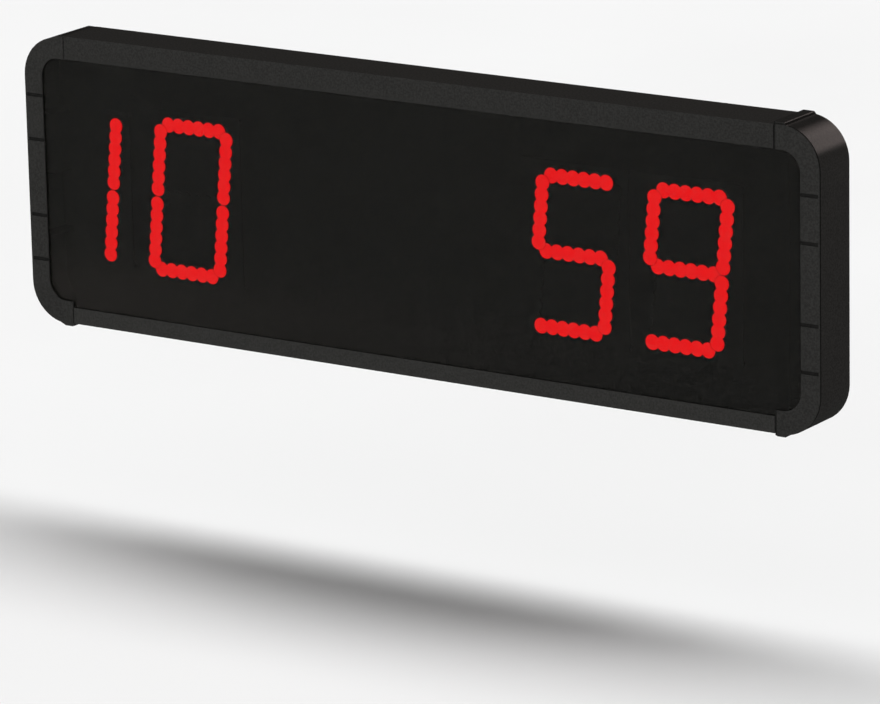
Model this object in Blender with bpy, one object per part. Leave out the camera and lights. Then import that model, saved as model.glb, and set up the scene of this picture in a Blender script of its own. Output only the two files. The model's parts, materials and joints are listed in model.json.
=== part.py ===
"""Wall-hung scoreboard with lit figures behind a smoked window.

Metres, +Z up. X runs along the case, the front faces -Y and the wall is the plane y = 0.
The origin is on the wall plane, midway along the case and midway up the rails.
"""

import math
from collections import namedtuple

import bmesh
import bpy
from mathutils import Matrix, Vector

MM = 0.001

# Case
case_width = 1206 * MM
rail_height = 390 * MM
rail_depth = 72 * MM

# Gap between pieces that touch, and how far a cutter runs past the face that it opens
fit_gap = 0.3 * MM
overshoot = 1 * MM

# Rails
web_thickness = 2.4 * MM
rail_edge_radius = 0.8 * MM
lip_thickness = 2.0 * MM
top_lip_height = 31 * MM
bottom_lip_height = 22 * MM
rib_thickness = 1.2 * MM
chassis_rib_height = 10 * MM
window_rib_shortfall = 7 * MM
panel_ledge_height = 14 * MM
bottom_rear_strip = 12 * MM

# Hanger channel in the back of the top rail
channel_depth = 9 * MM
channel_height = 36 * MM
channel_wall = 1.6 * MM
channel_lip = 4.6 * MM

# End caps
cap_length = 65 * MM
cap_proud = 1.5 * MM
cap_wall = 3 * MM
cap_corner_radius = 54 * MM
side_band = 27 * MM
cap_top_band = 31 * MM
cap_bottom_band = 30.5 * MM
window_corner_radius = 26.5 * MM
collar_rise = 2.9 * MM
collar_seam_chamfer = 0.6 * MM
corner_steps = 10
groove_heights = (51.3 * MM, 111.4 * MM)
groove_width = 4.5 * MM
groove_depth = 2.2 * MM
groove_end_margin = 2.0 * MM
shadow_line_setback = 0.8 * MM
shadow_line_width = 2.0 * MM
shadow_line_depth = 1.0 * MM
tongue_length = 22 * MM
tongue_thickness = 3 * MM
tongue_root = 10 * MM
tongue_relief = 1 * MM
cap_boss_size = 12 * MM
cap_rib_thickness = 2 * MM
cap_rib_reach = 24 * MM
cap_rib_pitch = 82 * MM

# Each cap's upper and lower corner: how far its collar stands past the rail's face, the
# collar's level stretch, and the ramp from there to the corner's arc
CapCorner = namedtuple("CapCorner", "level flat ramp")
cap_corners = {
    "right": (CapCorner(3.5 * MM, 16 * MM, 3 * MM), CapCorner(2.7 * MM, 16 * MM, 3 * MM)),
    "left": (CapCorner(-0.3 * MM, 12 * MM, 3 * MM), CapCorner(3.5 * MM, 13 * MM, 8 * MM)),
}
seam_line_width = {"right": 3.7 * MM, "left": 1.1 * MM}

# Window and its gaskets
window_thickness = 3 * MM
window_clearance = 6 * MM
window_end_clearance = 2 * MM
gasket_thickness = 1.1 * MM
gasket_height = 8 * MM

# Figures
figure_height = 196 * MM
figure_width = 105 * MM
figure_drop = 6.1 * MM
figure_slant = math.radians(5.3)
figure_gap = 19.9 * MM
left_figure_inset = 257.4 * MM
leading_one_inset = 132.7 * MM
right_figure_inset = 195.1 * MM
dots_per_segment = 6
dot_diameter = 20.5 * MM
row_end_gap = 12.2 * MM
lens_thickness = 4 * MM
lens_setback = 2.2 * MM
dot_arc_steps = 4
dot_notch_sides = 24

# Boards and chassis
board_thickness = 1.6 * MM
board_gap = 4 * MM
board_post_diameter = 7 * MM
board_post_inset = 5 * MM
board_post_length = 6.3 * MM
chassis_thickness = 1.5 * MM
chassis_edge_clearance = 1.5 * MM
harness_slot = (60 * MM, 16 * MM)
harness_slot_radius = 5 * MM

# Power supply and control board
supply_size = (129 * MM, 30 * MM, 97 * MM)
supply_place = (-60 * MM, -20 * MM)
supply_wall = 1.2 * MM
terminal_bay = (17 * MM, 19 * MM)
terminal_block = (10 * MM, 11 * MM)
terminal_side_inset = 3 * MM
terminal_end_inset = 10 * MM
vent_slot = (3 * MM, 26 * MM)
vent_radius = 1.2 * MM
vent_pitch = 8 * MM
vent_count = 6
vent_shift = 6 * MM
control_size = (160 * MM, 100 * MM)
control_place = (150 * MM, -25 * MM)
control_standoff = 6 * MM
control_post_diameter = 6 * MM
capacitor_diameter = 10 * MM
capacitor_height = 16 * MM
capacitor_places = ((-0.32, 0.12), (-0.22, 0.12))

# Each component's middle as shares of the control board, and its width, height and depth
control_components = {
    "processor": (-0.12, 0.05, 20 * MM, 20 * MM, 2 * MM),
    "radio_module": (0.3, 0.25, 34 * MM, 20 * MM, 4 * MM),
    "power_terminal": (-0.4, -0.3, 12 * MM, 20 * MM, 11 * MM),
    "harness_header": (-0.05, 0.4, 60 * MM, 8 * MM, 9 * MM),
    "button_header": (0.35, -0.4, 16 * MM, 6 * MM, 7 * MM),
}

# Rear panel, and the screws that hold it and the end caps
panel_thickness = 1.5 * MM
panel_screw_inset = 68 * MM
cap_screw_inset = 11 * MM
Screw = namedtuple("Screw", "shank_diameter head_diameter head_height length drive_depth")
panel_screw = Screw(3 * MM, 6 * MM, panel_thickness, 6 * MM, 0.7 * MM)
cap_screw = Screw(3.8 * MM, 7 * MM, 2.6 * MM, 10 * MM, 1.3 * MM)
drive_share = 0.45
sink_clearance = 0.5 * MM

# Hangers in the channel
hanger_length = 70 * MM
hanger_thickness = 2.5 * MM
hanger_corner_radius = 3 * MM
hanger_inset = 158 * MM
keyhole_entry_diameter = 12 * MM
keyhole_slot_width = 6 * MM
keyhole_rise = 13 * MM

# Connector bay in the underside of the bottom rail
bay_inset = 34 * MM
bay_length = 178 * MM
bay_width = 36 * MM
bay_radius = 4 * MM
connector_plate_margin = 4 * MM
connector_plate_thickness = 1.5 * MM
flange_thickness = 2 * MM
flange_radius = 2 * MM

# Mains inlet with its fuse drawer
inlet_inset = 34 * MM
inlet_flange = (52 * MM, 32 * MM)
inlet_body = (46 * MM, 28 * MM, 22 * MM)
socket_size = (25 * MM, 17 * MM, 15 * MM)
socket_shift = -8 * MM
socket_chamfer = 5 * MM
blade_size = (4 * MM, 2 * MM, 13 * MM)
blade_pitch = 7 * MM
blade_stagger = 2 * MM
drawer_size = (12 * MM, 23.6 * MM, 15 * MM)
drawer_shift = 14 * MM
drawer_clearance = 0.3 * MM
nail_slot = (6 * MM, 1.2 * MM, 1.5 * MM)
nail_slot_inset = 0.8 * MM
fuse_diameter = 5.2 * MM
fuse_length = 20 * MM
fuse_clearance = 0.4 * MM

# Mains switch
switch_inset = 79 * MM
switch_flange = (25 * MM, 17 * MM)
switch_body = (21 * MM, 14 * MM, 16 * MM)
rocker_half_length = 8 * MM
rocker_width = 10.4 * MM
rocker_well = (18.8 * MM, 11.2 * MM, 9 * MM)
rocker_pivot_depth = 2.5 * MM
rocker_end_rise = 1.4 * MM
rocker_middle_rise = 0.4 * MM
rocker_end_drop = 0.5 * MM
rocker_keel_half_length = 3 * MM
rocker_keel_drop = 4 * MM
rocker_edge_radius = 0.6 * MM
rocker_keel_radius = 1 * MM
trunnion_diameter = 2.0 * MM
trunnion_length = 0.9 * MM
rocker_tilt = math.radians(8)

# Set-up buttons
button_inset = 119 * MM
button_pitch = 16 * MM
button_flange = (34 * MM, 17 * MM)
button_body = (30 * MM, 13 * MM, 12 * MM)
button_diameter = 7 * MM
button_height = 7 * MM
button_clearance = 0.3 * MM
button_flange_rise = 0.9 * MM
button_flange_thickness = 1.2 * MM
button_travel = 1.5 * MM
button_dish_diameter = 12 * MM
button_dish_depth = 1.0 * MM

# Data socket
data_inset = 159 * MM
data_flange = (22 * MM, 19 * MM)
data_body = (17 * MM, 14.5 * MM, 18 * MM)
data_cavity = (11.8 * MM, 8.4 * MM, 13 * MM)
data_latch = (6 * MM, 2.6 * MM)

# Edges that turn by less than this are shaded smooth
crease_angle = math.radians(40)

# Places worked out from the sizes
half_width = case_width / 2
half_height = rail_height / 2
seam = half_width - cap_length
front = -rail_depth
cap_front = front - cap_proud
window_front = front + lip_thickness + fit_gap
window_back = window_front + window_thickness
window_half_height = half_height - web_thickness - window_clearance
window_half_length = half_width - cap_wall - window_end_clearance
sheet_corner_radius = cap_corner_radius - cap_wall - window_end_clearance
gasket_front = window_back + fit_gap
window_rib_front = gasket_front + gasket_thickness + fit_gap
lens_front = window_back + lens_setback
lens_back = lens_front + lens_thickness
board_front = lens_back + fit_gap
board_back = board_front + board_thickness
chassis_front = board_back + board_post_length + fit_gap
chassis_back = chassis_front + chassis_thickness
chassis_half_height = half_height - web_thickness - chassis_edge_clearance
chassis_end_half_height = window_half_height
ledge_face = -panel_thickness - fit_gap
ledge_back = ledge_face - lip_thickness
channel_floor = -lip_thickness - channel_depth
channel_back = channel_floor - channel_wall
channel_bottom = web_thickness + channel_height
channel_middle = half_height - web_thickness - channel_height / 2
panel_top_edge = channel_bottom + lip_thickness + fit_gap
figure_centre = -figure_drop
chassis_rib_back = chassis_back + fit_gap + rib_thickness
bay_depth_place = (chassis_rib_back + ledge_back) / 2
underside = -half_height
plate_bottom = underside + web_thickness + fit_gap
plate_top = plate_bottom + connector_plate_thickness
flange_top = plate_bottom - fit_gap
flange_bottom = flange_top - flange_thickness
column_end_gap = (dot_diameter + fit_gap) / 2
figure_lean = figure_height * math.tan(figure_slant)
figure_pitch = figure_width + figure_lean + dot_diameter + figure_gap
board_margin = (figure_gap - board_gap) / 2
leading_one_place = leading_one_inset - half_width
figure_places = {
    "digit_2": left_figure_inset - half_width,
    "digit_3": half_width - right_figure_inset - figure_pitch,
    "digit_4": half_width - right_figure_inset,
}
hanger_place = seam - hanger_inset
panel_screw_places = (panel_screw_inset - seam, 0, seam - panel_screw_inset)
bay_end = seam - bay_inset
bay_place = bay_end - bay_length / 2
inlet_place = bay_end - inlet_inset
switch_place = bay_end - switch_inset
button_place = bay_end - button_inset
data_place = bay_end - data_inset


def clear_scene():
    for old in list(bpy.data.objects):
        bpy.data.objects.remove(old, do_unlink=True)


clear_scene()
scoreboard = bpy.data.collections.new("scoreboard")
cutters = bpy.data.collections.new("cutters")
bpy.context.scene.collection.children.link(scoreboard)
bpy.context.scene.collection.children.link(cutters)


def finish(name, colour, roughness, metallic=0.0, glow=None, alpha=1.0):
    material = bpy.data.materials.new(name)
    material.use_nodes = True
    shader = material.node_tree.nodes["Principled BSDF"]
    shader.inputs["Base Color"].default_value = (*colour, 1)
    shader.inputs["Roughness"].default_value = roughness
    shader.inputs["Metallic"].default_value = metallic
    shader.inputs["Alpha"].default_value = alpha
    if glow:
        shader.inputs["Emission Color"].default_value = (*glow, 1)
        shader.inputs["Emission Strength"].default_value = 1.0
    return material


def coated(name):
    return finish(name + "_coat", (0.026, 0.026, 0.025), 0.55)


def black_plastic(name):
    return finish(name + "_plastic", (0.02, 0.02, 0.02), 0.45)


def steel(name):
    return finish(name + "_steel", (0.6, 0.6, 0.6), 0.35, 1.0)


def rounded(corners, steps=6):
    """Outline through corners (u, v, radius), with an arc of that radius at each."""
    outline = []
    for index, (u, v, radius) in enumerate(corners):
        here = Vector((u, v))
        if radius <= 0:
            outline.append(here)
            continue
        before = (Vector(corners[index - 1][:2]) - here).normalized()
        after = (Vector(corners[(index + 1) % len(corners)][:2]) - here).normalized()
        half = before.angle(after) / 2
        reach = radius / math.tan(half)
        centre = here + (before + after).normalized() * radius / math.sin(half)
        first = here + before * reach - centre
        last = here + after * reach - centre
        start = math.atan2(first.y, first.x)
        turn = math.remainder(math.atan2(last.y, last.x) - start, 2 * math.pi)
        for step in range(steps + 1):
            angle = start + turn * step / steps
            outline.append(centre + radius * Vector((math.cos(angle), math.sin(angle))))
    return outline


def rectangle(centre, size, radius=0.0, steps=3):
    u, v = centre
    half_u = size[0] / 2
    half_v = size[1] / 2
    signs = ((-1, -1), (1, -1), (1, 1), (-1, 1))
    return rounded([(u + a * half_u, v + b * half_v, radius) for a, b in signs], steps)


# Each plane takes an outline's u and v, and the axis that it is extruded along.
PLANES = {
    "X": Matrix(((0, 0, 1, 0), (1, 0, 0, 0), (0, 1, 0, 0), (0, 0, 0, 1))),
    "Y": Matrix(((1, 0, 0, 0), (0, 0, -1, 0), (0, 1, 0, 0), (0, 0, 0, 1))),
    "Z": Matrix.Identity(4),
}


def place(name, mesh, material=None):
    solid = bpy.data.objects.new(name, mesh)
    scoreboard.objects.link(solid)
    if material:
        mesh.materials.clear()
        mesh.materials.append(material)
    return solid


def prism(name, outlines, axis, low, high, material=None):
    """Flat outline extruded from low to high along an axis.

    It is drawn large and scaled down, because filling an outline loses its thinnest stretches,
    and each end is made one face, because the fill leaves slivers along its straight edges.
    """
    curve = bpy.data.curves.new(name, "CURVE")
    curve.dimensions = "2D"
    curve.fill_mode = "BOTH"
    curve.extrude = (high - low) / 2 / MM
    for outline in outlines:
        spline = curve.splines.new("POLY")
        spline.points.add(len(outline) - 1)
        spline.use_cyclic_u = True
        for point, (u, v) in zip(spline.points, outline):
            point.co = (u / MM, v / MM, 0, 1)
    drawn = bpy.data.objects.new(name, curve)
    scoreboard.objects.link(drawn)
    bpy.context.view_layer.update()
    graph = bpy.context.evaluated_depsgraph_get()
    mesh = bpy.data.meshes.new_from_object(drawn.evaluated_get(graph))
    bpy.data.objects.remove(drawn)
    offset = {"X": Vector((1, 0, 0)), "Y": Vector((0, 1, 0)), "Z": Vector((0, 0, 1))}[axis]
    shape = bmesh.new()
    shape.from_mesh(mesh)
    bmesh.ops.remove_doubles(shape, verts=shape.verts, dist=0.001)
    for end in (curve.extrude, -curve.extrude):
        filled = [f for f in shape.faces if all(abs(v.co.z - end) < 0.001 for v in f.verts)]
        bmesh.ops.dissolve_faces(shape, faces=filled)
    seat = Matrix.Translation(offset * (low + high) / 2) @ PLANES[axis] @ Matrix.Scale(MM, 4)
    bmesh.ops.transform(shape, verts=shape.verts, matrix=seat)
    bmesh.ops.recalc_face_normals(shape, faces=shape.faces)
    shape.to_mesh(mesh)
    shape.free()
    return place(name, mesh, material)


def block(name, low, high, material=None):
    shape = bmesh.new()
    bmesh.ops.create_cube(shape, size=1)
    low = Vector(low)
    high = Vector(high)
    bmesh.ops.scale(shape, verts=shape.verts, vec=high - low)
    bmesh.ops.translate(shape, verts=shape.verts, vec=(low + high) / 2)
    mesh = bpy.data.meshes.new(name)
    shape.to_mesh(mesh)
    shape.free()
    return place(name, mesh, material)


def turned(name, start, end, start_radius, end_radius=None, sides=20, material=None):
    """Cylinder or cone from start to end."""
    start = Vector(start)
    end = Vector(end)
    if end_radius is None:
        end_radius = start_radius
    shape = bmesh.new()
    bmesh.ops.create_cone(
        shape,
        cap_ends=True,
        segments=sides,
        radius1=start_radius,
        radius2=end_radius,
        depth=(end - start).length,
    )
    turn = (end - start).to_track_quat("Z", "Y").to_matrix().to_4x4()
    bmesh.ops.transform(shape, verts=shape.verts, matrix=Matrix.Translation((start + end) / 2) @ turn)
    mesh = bpy.data.meshes.new(name)
    shape.to_mesh(mesh)
    shape.free()
    return place(name, mesh, material)


def tool(solid):
    scoreboard.objects.unlink(solid)
    cutters.objects.link(solid)
    solid.hide_render = True
    solid.display_type = "WIRE"
    return solid


def smooth_round_faces():
    """Node group that shades smooth across every edge that turns by less than the crease angle."""
    group = bpy.data.node_groups.new("smooth_round_faces", "GeometryNodeTree")
    group.is_modifier = True
    for direction in ("INPUT", "OUTPUT"):
        group.interface.new_socket("Geometry", in_out=direction, socket_type="NodeSocketGeometry")
    entry = group.nodes.new("NodeGroupInput")
    result = group.nodes.new("NodeGroupOutput")
    angle = group.nodes.new("GeometryNodeInputMeshEdgeAngle")
    below = group.nodes.new("FunctionNodeCompare")
    below.operation = "LESS_THAN"
    below.inputs["B"].default_value = crease_angle
    edges = group.nodes.new("GeometryNodeSetShadeSmooth")
    edges.domain = "EDGE"
    faces = group.nodes.new("GeometryNodeSetShadeSmooth")
    faces.domain = "FACE"
    group.links.new(angle.outputs["Unsigned Angle"], below.inputs["A"])
    group.links.new(below.outputs["Result"], edges.inputs["Shade Smooth"])
    group.links.new(entry.outputs["Geometry"], edges.inputs["Geometry"])
    group.links.new(edges.outputs["Geometry"], faces.inputs["Geometry"])
    group.links.new(faces.outputs["Geometry"], result.inputs["Geometry"])
    return group


def combine(target, operation, solid):
    modifier = target.modifiers.new(operation.title() + " " + solid.name, "BOOLEAN")
    modifier.operation = operation
    modifier.solver = "EXACT"
    modifier.object = tool(solid)


def cut(target, *solids):
    for solid in solids:
        combine(target, "DIFFERENCE", solid)


def join(target, *solids):
    for solid in solids:
        combine(target, "UNION", solid)


def move_origin(solid, point):
    """Puts the object's origin at point, and leaves its shape where it is."""
    solid.data.transform(Matrix.Translation(-Vector(point)))
    solid.location = point


# Rails: one extruded profile each, drawn as (y, depth below the rail's outer face)


def front_half_of_profile(lip_height):
    """From the web behind the chassis slot, round the ribs, to the front lip and the outer face.

    Each point is (y, depth, edge radius).
    """
    chassis_slot_back = chassis_rib_back - rib_thickness
    chassis_slot_front = chassis_front - fit_gap
    window_rib_back = window_rib_front + rib_thickness
    window_rib_height = lip_height - window_rib_shortfall
    corners = [
        (chassis_rib_back, web_thickness),
        (chassis_rib_back, chassis_rib_height),
        (chassis_slot_back, chassis_rib_height),
        (chassis_slot_back, web_thickness),
        (chassis_slot_front, web_thickness),
        (chassis_slot_front, chassis_rib_height),
        (chassis_slot_front - rib_thickness, chassis_rib_height),
        (chassis_slot_front - rib_thickness, web_thickness),
        (window_rib_back, web_thickness),
        (window_rib_back, window_rib_height),
        (window_rib_front, window_rib_height),
        (window_rib_front, web_thickness),
        (front + lip_thickness, web_thickness),
        (front + lip_thickness, lip_height),
        (front, lip_height),
    ]
    outside = [(front, 0, rail_edge_radius), (0, 0, rail_edge_radius)]
    return [(y, depth, 0) for y, depth in corners] + outside


def top_rail_profile():
    upper_lip = web_thickness + channel_lip
    lower_lip = channel_bottom - channel_lip
    ledge_end = channel_bottom + lip_thickness + panel_ledge_height
    channel = [
        (0, upper_lip),
        (-lip_thickness, upper_lip),
        (-lip_thickness, web_thickness),
        (channel_floor, web_thickness),
        (channel_floor, channel_bottom),
        (-lip_thickness, channel_bottom),
        (-lip_thickness, lower_lip),
        (0, lower_lip),
        (0, channel_bottom + lip_thickness),
        (ledge_face, channel_bottom + lip_thickness),
        (ledge_face, ledge_end),
        (ledge_back, ledge_end),
        (ledge_back, channel_bottom + lip_thickness),
        (channel_back, channel_bottom + lip_thickness),
        (channel_back, web_thickness),
    ]
    profile = front_half_of_profile(top_lip_height) + [(y, depth, 0) for y, depth in channel]
    return [(y, half_height - depth) for y, depth in rounded(profile, 3)]


def bottom_rail_profile():
    ledge_end = bottom_rear_strip + panel_ledge_height
    rear = [
        (0, bottom_rear_strip),
        (ledge_face, bottom_rear_strip),
        (ledge_face, ledge_end),
        (ledge_back, ledge_end),
        (ledge_back, web_thickness),
    ]
    profile = front_half_of_profile(bottom_lip_height) + [(y, depth, 0) for y, depth in rear]
    return [(y, depth - half_height) for y, depth in rounded(profile, 3)]


rail_half_length = seam - fit_gap / 2


def rail(name, profile):
    return prism(name, [profile], "X", -rail_half_length, rail_half_length, coated(name))


top_rail = rail("top_rail", top_rail_profile())
bottom_rail = rail("bottom_rail", bottom_rail_profile())

# End caps: a rounded tray, open towards the rails, with a raised collar and two tongues


def cap_corner(corner, start, grow, collar):
    """Upper quarter of a cap's outline from x = start, grown outwards by grow.

    The collar ends on the corner's arc, so the arc begins where the collar meets it.
    """
    collar_level = half_height + corner.level
    radius = cap_corner_radius + grow
    middle_x = half_width - cap_corner_radius
    middle_z = collar_level - collar_rise - cap_corner_radius
    arc_start = max(middle_x, start)
    points = []
    if collar:
        arc_start = seam + corner.flat + corner.ramp
        points = [
            (start, collar_level - collar_seam_chamfer),
            (start + collar_seam_chamfer, collar_level),
            (seam + corner.flat, collar_level),
        ]
    elif start < middle_x:
        points = [(start, middle_z + radius)]
    first = math.acos((arc_start - middle_x) / radius)
    for step in range(corner_steps + 1):
        angle = first * (1 - step / corner_steps)
        points.append((middle_x + radius * math.cos(angle), middle_z + radius * math.sin(angle)))
    return points


def cap_outline(side_name, start, grow=0.0, collar=False):
    upper_corner, lower_corner = cap_corners[side_name]
    upper = cap_corner(upper_corner, start, grow, collar)
    lower = cap_corner(lower_corner, start, grow, collar)
    side = sides[side_name]
    return [(side * x, z) for x, z in upper + [(x, -z) for x, z in reversed(lower)]]


def window_cutout(side):
    """Opening in a cap's front wall, from the seam to the side band."""
    inner = half_width - side_band
    top = half_height - cap_top_band
    bottom = cap_bottom_band - half_height
    corners = [
        (seam - cap_length, top, 0),
        (inner, top, window_corner_radius),
        (inner, bottom, window_corner_radius),
        (seam - cap_length, bottom, 0),
    ]
    return [(side * x, z) for x, z in rounded(corners, corner_steps)]


def span(side, near, far):
    """Low and high x of a stretch between two distances from the middle, on one side."""
    return sorted((side * near, side * far))


tongue_front = chassis_rib_back + fit_gap
cap_screw_x = seam - cap_screw_inset
bottom_screw_z = -half_height + (bottom_rear_strip + web_thickness) / 2


def end_cap(side_name):
    side = sides[side_name]
    name = side_name + "_end_cap"
    outline = cap_outline(side_name, seam + fit_gap / 2, collar=True)
    cap = prism(name, [outline], "Y", cap_front, 0, coated(name))
    cavity = cap_outline(side_name, seam - cap_length, grow=-cap_wall)
    cut(cap, prism(name + "_cavity", [cavity], "Y", cap_front + cap_wall, -cap_wall))
    through_front = (cap_front - overshoot, cap_front + cap_wall + overshoot)
    cut(cap, prism(name + "_opening", [window_cutout(side)], "Y", *through_front))
    cut_seam_line(cap, side_name, name)
    cut_shadow_line(cap, side_name, name)
    cut_grooves(cap, side, name)
    add_cap_ribs(cap, side, name)
    add_tongues(cap, side_name, name)
    return cap


def cut_seam_line(cap, side_name, name):
    """Shallow line down the front of a cap, along its seam with the rails."""
    near = seam - overshoot
    low_x, high_x = span(sides[side_name], near, seam + seam_line_width[side_name])
    past_end = rail_height
    start = (low_x, cap_front - overshoot, -past_end)
    cut(cap, block(name + "_seam_line", start, (high_x, cap_front + groove_depth, past_end)))


def cut_shadow_line(cap, side_name, name):
    """Thin line round the side of a cap, just behind its front edge."""
    collar_end = max(corner.flat + corner.ramp for corner in cap_corners[side_name])
    outside = cap_outline(side_name, seam + collar_end, grow=cap_wall)
    inside = cap_outline(side_name, seam - cap_length, grow=-shadow_line_depth)
    line_front = cap_front + shadow_line_setback
    line_back = line_front + shadow_line_width
    ring = prism(name + "_ring", [outside], "Y", line_front, line_back)
    cut(ring, prism(name + "_core", [inside], "Y", line_front - overshoot, line_back + overshoot))
    cut(cap, ring)


def cut_grooves(cap, side, name):
    """Level grooves across a cap's side band, from the window opening almost to the edge."""
    low_x, high_x = span(side, half_width - side_band - overshoot, half_width - groove_end_margin)
    for index, height in enumerate(groove_heights):
        for sign in (1, -1):
            groove = block(
                f"{name}_groove_{index}_{sign}",
                (low_x, cap_front - overshoot, sign * height - groove_width / 2),
                (high_x, cap_front + groove_depth, sign * height + groove_width / 2),
            )
            cut(cap, groove)


def add_cap_ribs(cap, side, name):
    for step in (-1, 0, 1):
        low_x, high_x = span(side, half_width - cap_wall - cap_rib_reach, half_width - cap_wall / 2)
        rib = block(
            f"{name}_rib_{step}",
            (low_x, tongue_front, step * cap_rib_pitch - cap_rib_thickness / 2),
            (high_x, -cap_wall / 2, step * cap_rib_pitch + cap_rib_thickness / 2),
        )
        join(cap, rib)


def add_tongues(cap, side_name, name):
    """A tongue inside each rail, with a root in the cap's wall and a boss that its screw bites in."""
    side = sides[side_name]
    root = seam + tongue_root
    low_x, high_x = span(side, seam - tongue_length, root)
    root_low, root_high = span(side, seam + fit_gap, root)
    boss_low, boss_high = span(side, cap_screw_x - cap_boss_size / 2, root - tongue_relief)
    level = half_height - web_thickness - fit_gap
    bosses = {
        "top": (1, channel_back - fit_gap, channel_middle),
        "bottom": (-1, ledge_back - fit_gap, bottom_screw_z),
    }
    for (row, (sign, rear, screw_z)), corner in zip(bosses.items(), cap_corners[side_name]):
        low_z, high_z = sorted((sign * level, sign * (level - tongue_thickness)))
        start = (low_x, tongue_front, low_z)
        tongue = block(f"{name}_{row}_tongue", start, (high_x, rear - tongue_relief, high_z))
        middle = sign * (level - tongue_thickness / 2)
        wall_middle = sign * (half_height + corner.level - collar_rise - cap_wall / 2)
        low_z, high_z = sorted((middle, wall_middle))
        start = (root_low, tongue_front + tongue_relief, low_z)
        end = (root_high, rear - 2 * tongue_relief, high_z)
        tongue_end = block(f"{name}_{row}_root", start, end)
        far = screw_z - sign * cap_boss_size / 2
        low_z, high_z = sorted((middle, far))
        start = (boss_low, rear - cap_boss_size, low_z)
        boss = block(f"{name}_{row}_boss", start, (boss_high, rear, high_z))
        join(cap, tongue, tongue_end, boss)


sides = {"right": 1, "left": -1}
caps = {side_name: end_cap(side_name) for side_name in sides}

# Screws along y, their holes and their countersinks


def drive_socket(name, x, z, face, size):
    radius = size.head_diameter / 2 * drive_share
    start = (x, face - size.drive_depth, z)
    return turned(name + "_drive", start, (x, face + overshoot, z), radius, sides=6)


def sunk_screw(name, x, z, seat, size):
    """Countersunk screw whose head is flush with the face at y = seat."""
    shank = size.shank_diameter / 2
    tip = (x, seat - size.length, z)
    screw = turned(name, tip, (x, seat, z), shank, sides=12, material=steel(name))
    neck = (x, seat - size.head_height, z)
    join(screw, turned(name + "_head", neck, (x, seat, z), shank, size.head_diameter / 2))
    cut(screw, drive_socket(name, x, z, seat, size))


def pan_screw(name, x, z, seat, size):
    """Screw whose head stands on the face at y = seat."""
    head_back = seat + fit_gap + size.head_height
    tip = (x, seat - size.length, z)
    neck = (x, seat + fit_gap, z)
    middle = (x, seat + fit_gap + size.head_height / 2, z)
    screw = turned(name, tip, middle, size.shank_diameter / 2, sides=12, material=steel(name))
    join(screw, turned(name + "_head", neck, (x, head_back, z), size.head_diameter / 2))
    cut(screw, drive_socket(name, x, z, head_back, size))


def screw_hole(name, x, z, seat, size, end):
    """Round hole with clearance, from below the screw's tip to y = end."""
    start = (x, seat - size.length - overshoot, z)
    return turned(name, start, (x, end, z), size.shank_diameter / 2 + fit_gap, sides=16)


def countersink(name, x, z, seat, size):
    """Cone that clears a countersunk head all round, drawn past both of its ends."""
    slope = (size.head_diameter - size.shank_diameter) / 2 / size.head_height
    inner = size.shank_diameter / 2 + sink_clearance - slope * overshoot
    outer = size.head_diameter / 2 + sink_clearance + slope * overshoot
    start = (x, seat - size.head_height - overshoot, z)
    return turned(name, start, (x, seat + overshoot, z), inner, outer)


for side_name, side in sides.items():
    x = side * cap_screw_x
    name = side_name + "_cap_screw_top"
    pan_screw(name, x, channel_middle, channel_floor, cap_screw)
    place_and_size = (x, channel_middle, channel_floor, cap_screw)
    cut(top_rail, screw_hole(name + "_hole", *place_and_size, channel_floor + overshoot))
    cut(caps[side_name], screw_hole(name + "_boss_hole", *place_and_size, channel_floor))
    name = side_name + "_cap_screw_bottom"
    sunk_screw(name, x, bottom_screw_z, 0, cap_screw)
    place_and_size = (x, bottom_screw_z, 0, cap_screw)
    cut(bottom_rail, screw_hole(name + "_hole", *place_and_size, overshoot))
    cut(bottom_rail, countersink(name + "_sink", *place_and_size))
    cut(caps[side_name], screw_hole(name + "_boss_hole", *place_and_size, 0))

# Front window and gaskets

smoked = finish("front_window_smoked", (0.012, 0.012, 0.011), 0.28, alpha=0.45)
window_size = (2 * window_half_length, 2 * window_half_height)
window_sheet = rectangle((0, 0), window_size, sheet_corner_radius, steps=6)
prism("front_window", [window_sheet], "Y", window_front, window_back, smoked)

for name, sign in (("top_window_gasket", 1), ("bottom_window_gasket", -1)):
    outer_edge = sign * window_half_height
    inner_edge = sign * (window_half_height - gasket_height)
    block(
        name,
        (-rail_half_length, gasket_front, min(inner_edge, outer_edge)),
        (rail_half_length, gasket_front + gasket_thickness, max(inner_edge, outer_edge)),
        finish(name + "_rubber", (0.015, 0.015, 0.015), 0.8),
    )

# Figures: a board each, and a lens strip of overlapping round dots for each segment

half_figure = figure_height / 2
half_column = figure_width / 2
column_pitch = (half_figure - 2 * column_end_gap) / (dots_per_segment - 1)
row_pitch = (figure_width - 2 * row_end_gap) / (dots_per_segment - 1)


def segment_dots(segment):
    """Dot centres of a segment, as offsets in x and z from the middle of an upright figure."""
    if segment in "adg":
        height = {"a": half_figure, "g": 0.0, "d": -half_figure}[segment]
        start = -half_column + row_end_gap
        return [Vector((start + row_pitch * k, height)) for k in range(dots_per_segment)]
    across = half_column if segment in "bc" else -half_column
    sign = 1 if segment in "bf" else -1
    rises = [column_end_gap + column_pitch * k for k in range(dots_per_segment)]
    return [Vector((across, sign * rise)) for rise in rises]


def leaned(dot, middle):
    """Dot centre of the leaning figure, in x and z."""
    return Vector((middle + dot.x + dot.y * math.tan(figure_slant), figure_centre + dot.y))


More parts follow.
